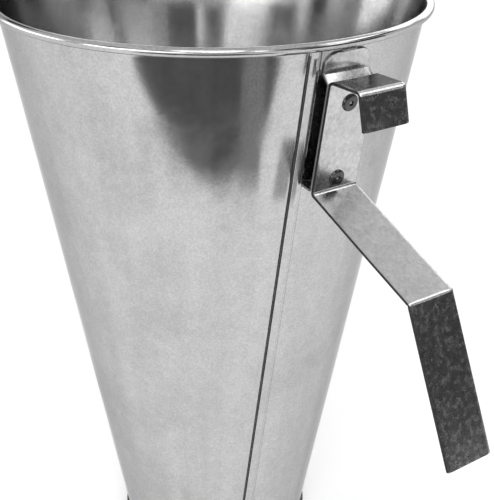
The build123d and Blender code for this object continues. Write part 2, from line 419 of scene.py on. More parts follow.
@dataclass(frozen=True)
class Groups:
    """The shared shader groups, built once."""

    spangle: bpy.types.NodeTree
    stains: bpy.types.NodeTree
    rolling: bpy.types.NodeTree
    wear_and_shade: bpy.types.NodeTree

    @staticmethod
    def build() -> Groups:
        """Build every group."""
        return Groups(spangle_group(), stain_group(), rolling_group(), wear_and_crease_shade_group())


# ---------------------------------------------------------------------------------------------
# Finishes
# ---------------------------------------------------------------------------------------------


@dataclass(frozen=True)
class ZincFinish:
    """Galvanised steel: metal with spangle, stains, worn edges, painted shade in creases and a fine uneven
    skin.
    """

    name: str
    tone: float = 0.6
    roughness: float = 0.27
    spangle_size: float = 0.006
    spangle_contrast: float = 0.1
    stain_size: float = 0.06
    stain_amount: float = 0.5
    stain_depth: float = 0.14
    stain_dulling: float = 0.12
    grain_size: float = 0.0012
    grain_depth: float = 0.1
    streak_depth: float = 0.0
    streak_count: float = 30.0
    streak_length: float = 3.0
    skin_size: float = 0.003
    skin_height: float = 0.00002
    worn_gain: float = 0.15
    crease_shade_depth: float = 0.55
    grazing_tint: float = 0.62

    def build(self, groups: Groups) -> bpy.types.Material:
        """Build the material.

        Args:
            groups: The shared shader groups.

        Returns:
            The material.
        """
        material = bpy.data.materials.new(self.name)
        material.use_nodes = True
        graph = Graph(material.node_tree)
        shader = material.node_tree.nodes["Principled BSDF"]
        spangle = graph.group(groups.spangle, size=self.spangle_size, contrast=self.spangle_contrast)
        stains = graph.group(groups.stains, size=self.stain_size, amount=self.stain_amount)
        wear_and_shade = graph.group(groups.wear_and_shade, reach=1.0, breakup=300.0)
        tone = graph.math("MULTIPLY", spangle.outputs["Tone"], self.tone)
        loss = graph.math("MULTIPLY", stains.outputs["Mask"], self.stain_depth)
        specks = graph.math("MULTIPLY", stains.outputs["Specks"], self.stain_depth * 0.9)
        kept = graph.math("SUBTRACT", graph.math("SUBTRACT", 1.0, loss), specks)
        tone = graph.math("MULTIPLY", tone, kept)
        grain_on = graph.add("ShaderNodeTexCoord").outputs["Object"]
        grain = graph.noise(grain_on, 1.0 / self.grain_size, 3.0, 0.65)
        grain = graph.spread(grain, 0.3, 0.7, 1.0 - self.grain_depth, 1.0 + self.grain_depth)
        tone = graph.math("MULTIPLY", tone, grain)
        dulling = graph.math("MULTIPLY", stains.outputs["Mask"], self.stain_dulling)
        rough = graph.math("ADD", dulling, self.roughness)
        if self.streak_depth:
            rolling = graph.group(groups.rolling, count=self.streak_count, length=self.streak_length)
            drift = graph.spread(
                rolling.outputs["Streaks"], 0.3, 0.7, 1.0 - self.streak_depth, 1.0 + self.streak_depth
            )
            tone = graph.math("MULTIPLY", tone, drift)
            rough = graph.math("MULTIPLY", rough, drift)
        worn = graph.math("MULTIPLY", wear_and_shade.outputs["Worn"], self.worn_gain)
        tone = graph.math("ADD", tone, worn)
        # Painted shade: the tone is darkened in creases and hollows, where shade falls.
        crease_shade = graph.math("MULTIPLY", wear_and_shade.outputs["Crease Shade"], self.crease_shade_depth)
        tone = graph.math("MULTIPLY", tone, graph.math("SUBTRACT", 1.0, crease_shade))
        graph.feed(graph.grey(tone), shader.inputs["Base Color"])
        graph.feed(rough, shader.inputs["Roughness"])
        shader.inputs["Metallic"].default_value = 1.0
        tint = self.grazing_tint
        shader.inputs["Specular Tint"].default_value = (tint, tint, tint, 1.0)
        place_on = graph.add("ShaderNodeTexCoord").outputs["Object"]
        skin = graph.noise(place_on, 1.0 / self.skin_size, 4.0, 0.6)
        raised = graph.math("ADD", skin, graph.math("MULTIPLY", spangle.outputs["Height"], 0.5))
        bump = graph.add("ShaderNodeBump")
        bump.inputs["Strength"].default_value = 1.0
        bump.inputs["Distance"].default_value = self.skin_height
        graph.feed(raised, bump.inputs["Height"])
        graph.feed(bump.outputs["Normal"], shader.inputs["Normal"])
        return material


@dataclass(frozen=True)
class RubberFinish:
    """Black rubber with a matt moulded skin, faint dust and scuffs."""

    name: str
    tone: float = 0.035
    dust_tone: float = 0.16
    roughness: float = 0.55
    grain_size: float = 0.0009
    grain_height: float = 0.00006

    def build(self, groups: Groups) -> bpy.types.Material:
        """Build the material.

        Args:
            groups: The shared shader groups.

        Returns:
            The material.
        """
        material = bpy.data.materials.new(self.name)
        material.use_nodes = True
        graph = Graph(material.node_tree)
        shader = material.node_tree.nodes["Principled BSDF"]
        stains = graph.group(groups.stains, size=0.02, amount=0.8)
        wear_and_shade = graph.group(groups.wear_and_shade, reach=0.6, breakup=500.0)
        dust = graph.math("MAXIMUM", stains.outputs["Mask"], wear_and_shade.outputs["Worn"])
        dust = graph.math("MAXIMUM", dust, stains.outputs["Specks"])
        bare = (self.tone, self.tone, self.tone, 1.0)
        dusty = (self.dust_tone, self.dust_tone, self.dust_tone, 1.0)
        graph.feed(graph.blend(dust, bare, dusty), shader.inputs["Base Color"])
        rough = graph.math("ADD", graph.math("MULTIPLY", dust, 0.25), self.roughness)
        graph.feed(rough, shader.inputs["Roughness"])
        place_on = graph.add("ShaderNodeTexCoord").outputs["Object"]
        grain = graph.noise(place_on, 1.0 / self.grain_size, 3.0, 0.6)
        bump = graph.add("ShaderNodeBump")
        bump.inputs["Strength"].default_value = 1.0
        bump.inputs["Distance"].default_value = self.grain_height
        graph.feed(grain, bump.inputs["Height"])
        graph.feed(bump.outputs["Normal"], shader.inputs["Normal"])
        return material


@dataclass(frozen=True)
class StageFinish:
    """Plain matt surface for the floor and the studio's cards, or one that glows."""

    name: str
    tone: float
    glow: float = 0.0

    def build(self) -> bpy.types.Material:
        """Build the material."""
        material = bpy.data.materials.new(self.name)
        material.use_nodes = True
        shader = material.node_tree.nodes["Principled BSDF"]
        shader.inputs["Base Color"].default_value = (self.tone, self.tone, self.tone, 1.0)
        shader.inputs["Roughness"].default_value = 0.9
        shader.inputs["Specular IOR Level"].default_value = 0.0
        shader.inputs["Emission Color"].default_value = (1.0, 1.0, 1.0, 1.0)
        shader.inputs["Emission Strength"].default_value = self.glow
        return material


@dataclass
class Finishes:
    """Every material of the funnel."""

    sheet: bpy.types.Material
    bracket: bpy.types.Material
    cut_edge: bpy.types.Material
    dull_edge: bpy.types.Material
    seam_gap_shade: bpy.types.Material
    wire: bpy.types.Material
    rubber: bpy.types.Material
    rivet: bpy.types.Material
    mandrel: bpy.types.Material
    weld: bpy.types.Material

    @staticmethod
    def build() -> Finishes:
        """Build every finish."""
        groups = Groups.build()
        sheet = ZincFinish(
            "galvanised_sheet",
            tone=0.5,
            roughness=0.11,
            spangle_size=0.005,
            spangle_contrast=0.07,
            stain_amount=0.9,
            streak_depth=0.05,
            streak_count=5.0,
            skin_height=0.000006,
        )
        bracket = ZincFinish(
            "galvanised_strip",
            tone=0.54,
            roughness=0.2,
            spangle_size=0.004,
            spangle_contrast=0.12,
            stain_size=0.0032,
            stain_amount=0.75,
            stain_depth=0.14,
            stain_dulling=0.125,
            grain_size=0.0022,
            grain_depth=0.09,
            worn_gain=0.04,
            skin_size=0.0025,
            skin_height=0.00003,
        )
        # Near-black tone: bare cut steel, darkened further as painted shade of the dark gap beside the
        # hanger's edges.
        cut_edge = ZincFinish(
            "cut_edge", tone=0.045, roughness=0.5, spangle_size=0.002, stain_size=0.006,
            skin_size=0.0006, skin_height=0.00006, worn_gain=0.05,
        )
        dull_edge = ZincFinish(
            "dull_edge", tone=0.3, roughness=0.35, spangle_size=0.002, stain_size=0.006,
            skin_size=0.0006, skin_height=0.00003,
        )
        # Dark tone with stains: painted shade of the gap under the seam's fold.
        seam_gap_shade = ZincFinish(
            "seam_gap_shade", tone=0.13, roughness=0.4, spangle_size=0.002, stain_size=0.03,
            stain_depth=0.5, grain_depth=0.3, worn_gain=0.05,
        )
        wire = ZincFinish("drawn_wire", tone=0.4, roughness=0.35, spangle_size=0.002)
        # Near-black tone: painted dark reflection on the domed head; the strong crease darkening paints the
        # shade in the rivet's hollows.
        rivet = ZincFinish(
            "rivet_metal",
            tone=0.1,
            roughness=0.2,
            spangle_size=0.001,
            spangle_contrast=0.15,
            stain_size=0.004,
            stain_depth=0.35,
            skin_size=0.0008,
            skin_height=0.00003,
            crease_shade_depth=0.8,
        )
        mandrel = ZincFinish(
            "broken_mandrel", tone=0.5, roughness=0.3, stain_size=0.002, stain_depth=0.4,
            skin_size=0.0004, skin_height=0.0001,
        )
        weld = ZincFinish(
            "weld_metal", tone=0.5, roughness=0.38, spangle_size=0.0015, stain_size=0.003,
            stain_depth=0.45, skin_size=0.0008, skin_height=0.0001,
        )
        return Finishes(
            sheet.build(groups),
            bracket.build(groups),
            cut_edge.build(groups),
            dull_edge.build(groups),
            seam_gap_shade.build(groups),
            wire.build(groups),
            RubberFinish("black_rubber").build(groups),
            rivet.build(groups),
            mandrel.build(groups),
            weld.build(groups),
        )


# ---------------------------------------------------------------------------------------------
# The cone's wall, which every other piece is placed from
# ---------------------------------------------------------------------------------------------


@dataclass(frozen=True)
class Wall:
    """The cone's outside surface, and places on it or off it as (radius, height) in metres."""

    foot_radius: float
    foot: float
    lean: float

    @staticmethod
    def read(outlet_radius: float, bead_radius: float, wire_bore: float) -> Wall:
        """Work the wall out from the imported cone.

        Args:
            outlet_radius: Outside radius of the sheet at its lower edge.
            bead_radius: Outside radius of the rolled rim's section.
            wire_bore: Inside radius of that section.

        Returns:
            The wall.
        """
        low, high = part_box("cone_shell")
        run = high.x - bead_radius - outlet_radius
        rise = high.z - bead_radius - low.z
        lean = math.atan2(run, rise) - math.asin(wire_bore / math.hypot(run, rise))
        return Wall(outlet_radius, low.z, lean)

    def radius(self, height: float) -> float:
        """Outside radius at a height."""
        return self.foot_radius + (height - self.foot) * math.tan(self.lean)

    def point(self, height: float, stand: float = 0.0) -> Point2:
        """Place at a height that stands off the wall, square to it."""
        return (self.radius(height) + stand / math.cos(self.lean), height)

    def along(self, start: Point2, distance: float) -> Point2:
        """Place a distance down the slope from start."""
        return (
            start[0] - distance * math.sin(self.lean),
            start[1] - distance * math.cos(self.lean),
        )

    def off(self, start: Point2, distance: float) -> Point2:
        """Place a distance out from start, square to the wall."""
        return (
            start[0] + distance * math.cos(self.lean),
            start[1] - distance * math.sin(self.lean),
        )


# ---------------------------------------------------------------------------------------------
# Cone
# ---------------------------------------------------------------------------------------------


@dataclass
class ConeShell:
    """The rolled sheet: its wall with the folded seam, painted shade in the fold's gap, and the curl round
    the rim wire.
    """

    finish: bpy.types.Material
    gap_shade_finish: bpy.types.Material
    outlet_radius: float = 60.5 * MM
    sheet: float = 0.7 * MM
    bead_radius: float = 2.5 * MM
    wire_bore: float = 1.8 * MM
    slit: float = 0.5 * MM
    seam_width: float = 6.0 * MM
    seam_rise: float = 1.2 * MM
    seam_top_offset: float = -20.3 * MM
    seam_bottom_offset: float = -18.3 * MM
    seam_end: float = 1.5 * MM
    gap_start: float = -1.0 * MM
    gap_end: float = 0.3 * MM
    unevenness: float = 0.35 * MM
    ring_columns: int = 220
    wall_rows: int = 64
    wall: Wall = field(init=False)
    bead_centre: Point2 = field(init=False)
    trim_top: float = field(init=False)

    def __post_init__(self) -> None:
        """Read the wall, the rolled rim's centre and the trim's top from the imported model."""
        self.wall = Wall.read(self.outlet_radius, self.bead_radius, self.wire_bore)
        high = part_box("cone_shell")[1]
        self.bead_centre = (high.x - self.bead_radius, high.z - self.bead_radius)
        self.trim_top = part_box("outlet_trim")[1].z

    def seam_turn(self, height: float) -> float:
        """Angle about Z of the seam's middle at a height."""
        top = self.bead_centre[1] - self.bead_radius
        share = (height - self.trim_top) / (top - self.trim_top)
        offset = mix(self.seam_bottom_offset, self.seam_top_offset, share)
        return math.asin(offset / self.wall.radius(height))

    def seam_section(self, across: float) -> float:
        """How far the seam stands out of the wall.

        Args:
            across: Distance from the seam's middle, positive towards the hanger.

        Returns:
            Its height there: a sharp undercut fold on one side and a softer step on the other.
        """
        half = self.seam_width / 2
        fold = ease(-half - 0.1 * MM, -half + 0.35 * MM, across)
        crown = 0.12 * MM * math.cos(math.pi * min(1.0, abs(across) / half))
        groove = -0.35 * MM * math.exp(-(((across + half + 0.45 * MM) / (0.4 * MM)) ** 2))
        lower_step = 0.45 * ease(half - 1.5 * MM, half - 1.1 * MM, across)
        last_step = 0.55 * ease(half - 0.5 * MM, half + 0.8 * MM, across)
        body = fold * (1.0 - lower_step - last_step)
        return (self.seam_rise + crown) * body + groove

    def seam_columns(self) -> list[float]:
        """Distances across the seam at which the wall has a column of points."""
        half = self.seam_width / 2
        left = [-2.6, -1.6, -1.0, -0.7, -0.5, -0.35, -0.2, -0.1, 0.0, 0.12, 0.24, 0.36, 0.6, 1.1]
        right = [-2.4, -1.6, -1.5, -1.4, -1.3, -1.2, -1.1, -1.0, -0.7, -0.4, -0.25, -0.1, 0.05]
        tail = [0.15, 0.25, 0.4, 0.8, 1.6, 2.6]
        start = [-half + value * MM for value in left]
        end = [half + value * MM for value in right + tail]
        return start + [-half + 1.8 * MM, 0.0] + end

    def columns(self, height: float) -> list[tuple[float, float]]:
        """Every column's angle about Z and its distance across the seam at a height."""
        radius = self.wall.radius(height)
        middle = self.seam_turn(height)
        near = [(middle + across / radius, across) for across in self.seam_columns()]
        first = near[-1][0]
        last = near[0][0] + FULL_TURN
        rest = [
            (mix(first, last, (index + 1) / (self.ring_columns + 1)), 1.0)
            for index in range(self.ring_columns)
        ]
        return near + rest

    def stand(self, angle: float, height: float) -> float:
        """How far the wall stands out of true at a place."""
        top = self.bead_centre[1]
        low = self.trim_top
        ends = ease(low, low + 40 * MM, height) * ease(top + 8 * MM, top - 30 * MM, height)
        turn = math.atan2(math.sin(angle), math.cos(angle))
        beside = ease(0.14, 0.34, abs(turn))
        clear = max(beside, ease(0.29, 0.26, height))
        return self.unevenness * ends * clear * waviness(angle, height)

    def section(self) -> list[tuple[Point2, float]]:
        """Closed section of the sheet, and for each point how much of the seam it carries."""
        wall = self.wall
        centre = self.bead_centre
        tangent = math.pi - wall.lean
        outer_start = math.acos((self.wire_bore - self.slit) / self.bead_radius)
        inner_start = math.acos((self.wire_bore - self.slit) / self.wire_bore)
        curl = arc(centre, self.bead_radius, tangent, tangent + outer_start - FULL_TURN, 34)
        back = arc(centre, self.wire_bore, tangent + inner_start - FULL_TURN, tangent, 20)
        top = centre[1] - self.bead_radius
        low = self.trim_top
        heights = span(wall.foot, curl[0][1], self.wall_rows)[:-1]
        inside = [(wall.point(z, -self.sheet), 0.0) for z in heights]
        down = span(back[-1][1], wall.foot, self.wall_rows + 8)[1:]
        outside = []
        for z in down:
            near_top = ease(top - self.seam_end, top - self.seam_end - 1.2 * MM, z)
            near_foot = ease(low + 0.5 * self.seam_end, low + self.seam_end, z)
            outside.append((wall.point(z), near_top * near_foot))
        return inside + [(p, 0.0) for p in curl] + [(p, 0.0) for p in back] + outside

    def build(self) -> None:
        """Build the sheet and dress it."""
        rows: list[list[Vector]] = []
        for (radius, height), seam in self.section():
            row: list[Vector] = []
            for angle, across in self.columns(height):
                out = self.stand(angle, height)
                if seam and abs(across) < self.seam_width:
                    out += seam * self.seam_section(across)
                reach = radius + out
                row.append(Vector((reach * math.cos(angle), reach * math.sin(angle), height)))
            rows.append(row)
        piece = make_object("cone_sheet", rows, loop_rows=True, loop_columns=True)
        place(piece, "galvanised_sheet", self.finish, "cone_shell")
        piece.data.materials.append(self.gap_shade_finish)
        width = len(rows[0])
        edge = -self.seam_width / 2
        crossings = self.seam_columns()
        section = self.section()
        # Painted shade: faces in the fold's undercut and groove take the dark gap finish.
        for index, face in enumerate(piece.data.polygons):
            row, column = divmod(index, width)
            if column < len(crossings) - 1 and section[row][1] > 0.5:
                middle = (crossings[column] + crossings[column + 1]) / 2
                in_gap = edge + self.gap_start < middle < edge + self.gap_end
                face.material_index = 1 if in_gap else 0


@dataclass
class OutletTrim:
    """The moulded rubber channel on the sheet's lower edge."""

    finish: bpy.types.Material
    wall: Wall
    side: float = 2.2 * MM
    floor: float = 2.0 * MM
    sheet: float = 0.7 * MM
    clearance: float = 0.05 * MM
    corner: float = 0.9 * MM
    columns: int = 200

    def section(self) -> list[Point2]:
        """Closed section of the channel, its outer corners rounded."""
        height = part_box("outlet_trim")[1].z
        bore = self.wall.foot_radius - self.sheet / math.cos(self.wall.lean)
        bore -= self.clearance + self.side
        foot_out = self.wall.foot_radius + self.side
        top_out = self.wall.radius(height) + self.side
        small = 0.35 * MM
        points = arc((bore + small, small), small, math.pi, 1.5 * math.pi, 4)
        centre = (foot_out - 0.85 * self.corner, self.corner)
        points += arc(centre, self.corner, -0.5 * math.pi, -self.wall.lean, 7)
        points += [self.wall.point(z, self.side * 0.99) for z in span(0.3 * height, 0.8 * height, 5)]
        centre = (top_out - 1.15 * self.corner, height - self.corner)
        points += arc(centre, self.corner, -self.wall.lean, 0.5 * math.pi, 7)
        points += [self.wall.point(height, self.clearance + 0.1 * MM)]
        points += [self.wall.point(z, self.clearance) for z in (height - 0.3 * MM, self.floor)]
        inner = -(self.sheet + self.clearance)
        points += [self.wall.point(z, inner) for z in (self.floor, height - 0.3 * MM)]
        points += [self.wall.point(height, inner - 0.1 * MM)]
        inner_corner = (bore + self.corner, height - self.corner)
        points += arc(inner_corner, self.corner, 0.5 * math.pi, math.pi, 7)
        return points

    def build(self) -> None:
        """Build the channel and dress it."""
        rows: list[list[Vector]] = []
        turns = [FULL_TURN * index / self.columns for index in range(self.columns)]
        for radius, height in self.section():
            rows.append([Vector((radius * math.cos(a), radius * math.sin(a), height)) for a in turns])
        piece = make_object("outlet_rubber", rows, loop_rows=True, loop_columns=True)
        place(piece, "black_rubber", self.finish, "outlet_trim")


# ---------------------------------------------------------------------------------------------
# Flat strips, bent along a line
# ---------------------------------------------------------------------------------------------


@dataclass
class Station:
    """One place along a bent strip's middle line."""

    spot: Point2
    normal: Point2
    half_width: float
    bend: float = 0.0
    wrap: float = 0.0
    dome: float = 0.0


def bent_line(
    corners: Sequence[Point2], radius: float, step: float
) -> list[tuple[Point2, Point2, float]]:
    """Follow a polyline with its corners rounded.

    Args:
        corners: The polyline's points.
        radius: Radius of every rounded corner.
        step: Longest distance between places on a straight run.

    Returns:
        Places as (point, direction, share): share is 1 in the middle of a corner and 0 on a run.
    """
    places: list[tuple[Point2, Point2, float]] = []
    start = Vector(corners[0])
    for index in range(1, len(corners)):
        corner = Vector(corners[index])
        direction = (corner - start).normalized()
        if index == len(corners) - 1:
            end = corner
            after = None
        else:
            after = (Vector(corners[index + 1]) - corner).normalized()
            turn = math.acos(max(-1.0, min(1.0, direction.dot(after))))
            setback = radius * math.tan(turn / 2)
            end = corner - direction * setback
        count = max(2, int((end - start).length / step) + 1)
        for share in span(0.0, 1.0, count):
            spot = start.lerp(end, share)
            places.append(((spot.x, spot.y), (direction.x, direction.y), 0.0))
        if after is not None:
            side = 1.0 if direction.cross(after) > 0 else -1.0
            centre = end + Vector((-direction.y, direction.x)) * side * radius
            first = math.atan2(end.y - centre.y, end.x - centre.x)
            for share in span(0.0, 1.0, 12)[1:-1]:
                angle = first + side * turn * share
                spot = centre + Vector((math.cos(angle), math.sin(angle))) * radius
                heading = Vector((-math.sin(angle), math.cos(angle))) * side
                swell = side * math.sin(math.pi * share)
                places.append(((spot.x, spot.y), (heading.x, heading.y), swell))
            start = corner + after * setback
    return places


@dataclass
class FlatStrip:
    """A strip of flat sheet with rounded cut edges, swept along its middle line."""

    name: str
    thickness: float
    edge: float
    unevenness: float
    swell: float
    columns: int = 18

    def ring(self, station: Station) -> list[Vector]:
        """Points round the strip's section at one station."""
        half = self.thickness / 2
        points: list[tuple[float, float]] = []
        for side in (1.0, -1.0):
            flat = span(-1.0, 1.0, self.columns)
            if side < 0:
                flat = flat[::-1]
            inner = station.half_width - self.edge
            points += [(share * inner, side * half) for share in flat]
            for turn in (30.0, 60.0):
                angle = math.radians(turn)
                out = inner + self.edge * math.sin(angle)
                rise = half - self.edge * (1.0 - math.cos(angle))
                points.append((side * out, side * rise))
            points.append((side * station.half_width, side * (half - self.edge)))
            points.append((side * station.half_width, -side * (half - self.edge)))
            for turn in (60.0, 30.0):
                angle = math.radians(turn)
                out = inner + self.edge * math.sin(angle)
                rise = half - self.edge * (1.0 - math.cos(angle))
                points.append((side * out, -side * rise))
        ring: list[Vector] = []
        for across, up in points:
            at_edge = ease(0.6, 1.0, abs(across) / max(station.half_width, 1e-6))
            pinch = station.bend * self.swell * at_edge
            grown = across * (1.0 + (0.01 * abs(station.bend) * (1.0 if up * station.bend < 0 else -1.0)))
            sample = Vector((station.spot[0] * 22.0, across * 26.0, station.spot[1] * 22.0))
            share = min(1.0, abs(across) / max(station.half_width, 1e-6))
            rise = up + self.unevenness * noise.noise(sample) - pinch
            rise += station.dome * (1.0 - share**2.4)
            x = station.spot[0] + station.normal[0] * rise
            z = station.spot[1] + station.normal[1] * rise
            if station.wrap:
                radius = x
                x = mix(x, math.sqrt(max(radius * radius - grown * grown, 1e-9)), station.wrap)
            ring.append(Vector((x, grown, z)))
        return ring

    def build(
        self, stations: Sequence[Station], slot: str, finish: bpy.types.Material,
        cut_edge: bpy.types.Material, node: str,
    ) -> bpy.types.Object:
        """Skin the stations, then dress the flat faces and the cut edges.

        Args:
            stations: Places along the middle line.
            slot: The record's material slot that it takes.
            finish: Material of the flat faces.
            cut_edge: Material of the sheared edges and ends.
            node: CAD node that it stands for.

        Returns:
            The piece.
        """
        rows = [self.ring(station) for station in stations]
        piece = make_object(self.name, rows, loop_columns=True, cap_ends=True, sharp_degrees=50.0)
        width = len(rows[0])
        steps = (len(rows) - 1) * width
        face_columns = self.columns - 1
        half_ring = width // 2
        place(piece, slot, finish, node)
        piece.data.materials.append(cut_edge)
        for index, face in enumerate(piece.data.polygons):
            on_flat = index < steps and (index % width) % half_ring < face_columns
            face.material_index = 0 if on_flat else 1
        return piece


def rounded_half_width(full: float, corner: float, distance: float) -> float:
    """Half width of a strip near an end with rounded corners, at a distance from the end."""
    if distance >= corner:
        return full
    return full - corner + math.sqrt(max(0.0, corner * corner - (corner - distance) ** 2))


def with_end_rows(
    places: Sequence[tuple[Point2, Point2, float]], corner: float, at_start: bool
) -> list[tuple[Point2, Point2, float]]:
    """Add close rows within a rounded corner's length of one end of a line.

    Args:
        places: Places along the line, as from bent_line.
        corner: Radius of the end's corners.
        at_start: True for the first end and False for the last.

    Returns:
        The line with the rows added.
    """
    shares = (0.02, 0.07, 0.15, 0.27, 0.42, 0.6, 0.8, 1.0)
    spot, heading, bend = places[0] if at_start else places[-1]
    sign = 1.0 if at_start else -1.0
    extra = [
        ((spot[0] + sign * heading[0] * corner * s, spot[1] + sign * heading[1] * corner * s), heading, bend)
        for s in shares
    ]
    kept = [
        p for p in places if math.hypot(p[0][0] - spot[0], p[0][1] - spot[1]) > corner * 1.05
    ]
    if at_start:
        return [places[0]] + extra + kept
    return kept + extra[::-1] + [places[-1]]


@dataclass
class HangerStrip:
    """The hanger: one flat strip bent into a tab, a hook, a riveted stretch, an arm and a leg."""

    finish: bpy.types.Material
    cut_edge: bpy.types.Material
    wall: Wall
    thickness: float = 1.5 * MM
    bend_radius: float = 2.0 * MM
    stand: float = 5.97 * MM
    hook_below_rim: float = 20.0 * MM
    hook_reach: float = 21.5 * MM
    tab_length: float = 19.5 * MM
    tab_lean: float = math.radians(13.5)
    plate_length: float = 64.5 * MM
    arm_length: float = 83.0 * MM
    arm_slope: float = math.radians(22.5)
    leg_length: float = 86.0 * MM
    leg_lean: float = math.radians(25.0)
    corner: float = 1.0 * MM
    edge: float = 0.25 * MM
    row_step: float = 3.0 * MM

    @property
    def hook_back(self) -> Point2:
        """The middle line's corner at the hook's back."""
        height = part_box("cone_shell")[1].z - self.hook_below_rim - self.thickness / 2
        return self.wall.point(height, self.stand)

    @property
    def lower_bend(self) -> Point2:
        """The middle line's corner under the riveted stretch."""
        return self.wall.along(self.hook_back, self.plate_length)

    def corners(self) -> list[Point2]:
        """The middle line's corners, from the tab's end to the leg's end."""
        back = self.hook_back
        front = (back[0] + self.hook_reach, back[1])
        tab = (
            front[0] + self.tab_length * math.sin(self.tab_lean),
            front[1] - self.tab_length * math.cos(self.tab_lean),
        )
        low = self.lower_bend
        knee = (
            low[0] + self.arm_length * math.cos(self.arm_slope),
            low[1] - self.arm_length * math.sin(self.arm_slope),
        )
        leg = (
            knee[0] + self.leg_length * math.sin(self.leg_lean),
            knee[1] - self.leg_length * math.cos(self.leg_lean),
        )
        return [tab, front, back, low, knee, leg]

    def build(self) -> None:
        """Build the strip and dress it."""
        half = (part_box("hanger_strip")[1].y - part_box("hanger_strip")[0].y) / 2
        middle_radius = self.bend_radius + self.thickness / 2
        places = bent_line(self.corners(), middle_radius, self.row_step)
        places = with_end_rows(places, self.corner, True)
        places = with_end_rows(places, self.corner, False)
        stations: list[Station] = []
        travelled = 0.0
        total = sum(math.dist(a[0], b[0]) for a, b in zip(places, places[1:]))
        for index, (spot, heading, bend) in enumerate(places):
            if index:
                travelled += math.dist(places[index - 1][0], spot)
            distance = min(travelled, total - travelled)
            width = rounded_half_width(half, self.corner, distance)
            stations.append(Station(spot, (-heading[1], heading[0]), width, bend))
        strip = FlatStrip("hanger", self.thickness, self.edge, 0.12 * MM, 0.1 * MM)
        strip.build(stations, "bracket_steel", self.finish, self.cut_edge, "hanger_strip")


@dataclass
class StandoffPlate:
    """The plate behind the hanger: an ear on the wall, a joggle, a flat and a bent-in lip."""

    finish: bpy.types.Material
    cut_edge: bpy.types.Material
    wall: Wall
    hanger: HangerStrip
    thickness: float = 1.2 * MM
    gap: float = 4.0 * MM
    ear_height: float = 11.0 * MM
    ear_corner: float = 7.0 * MM
    ear_rim_gap: float = 2.0 * MM
    joggle_height: float = 4.0 * MM
    bend_radius: float = 0.9 * MM
    lip_rise: float = 1.5 * MM
    ear_dome: float = 1.1 * MM
    bead_radius: float = 2.5 * MM
    contact: float = 0.06 * MM
    edge: float = 0.2 * MM
    row_step: float = 2.5 * MM

    def corners(self) -> list[Point2]:
        """The middle line's corners, from the ear's top edge to the lip's end."""
        wall = self.wall
        bead_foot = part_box("cone_shell")[1].z - 2 * self.bead_radius
        top = wall.point(bead_foot - self.ear_rim_gap, self.thickness / 2 + self.contact)
        foot = wall.along(top, self.ear_height)
        flat_top = wall.off(wall.along(foot, self.joggle_height), self.gap)
        middle = self.gap + self.thickness / 2
        low = wall.along(self.hanger.hook_back, self.hanger.plate_length - self.lip_rise)
        flat_bottom = wall.off(low, middle - self.hanger.stand)
        lip = wall.off(flat_bottom, -middle + self.contact)
        return [top, foot, flat_top, flat_bottom, lip]

    def build(self) -> None:
        """Build the plate and dress it."""
        half = (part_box("standoff_plate")[1].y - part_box("standoff_plate")[0].y) / 2
        corners = self.corners()
        places = bent_line(corners, self.bend_radius + self.thickness / 2, self.row_step)
        places = with_end_rows(places, self.ear_corner, True)
        stations: list[Station] = []
        travelled = 0.0
        last = places[0][0]
        lip_top = corners[3]
        for spot, heading, bend in places:
            travelled += math.dist(last, spot)
            last = spot
            width = rounded_half_width(half, self.ear_corner, travelled)
            wrap = ease(corners[2][1], corners[1][1] + 1.0 * MM, spot[1])
            out = math.dist(spot, lip_top) / (self.gap + self.thickness / 2)
            if heading[0] < -0.5:
                wrap = min(1.0, out)
            dome = 0.0
            if travelled < self.ear_height:
                share = (travelled / self.ear_height) ** 1.6
                dome = self.ear_dome * math.sin(math.pi * share)
            stations.append(Station(spot, (-heading[1], heading[0]), width, bend, wrap, dome))
        strip = FlatStrip("standoff", self.thickness, self.edge, 0.05 * MM, 0.0)
        strip.build(stations, "bracket_steel", self.finish, self.cut_edge, "standoff_plate")


# ---------------------------------------------------------------------------------------------
# Rivets and welds
# ---------------------------------------------------------------------------------------------


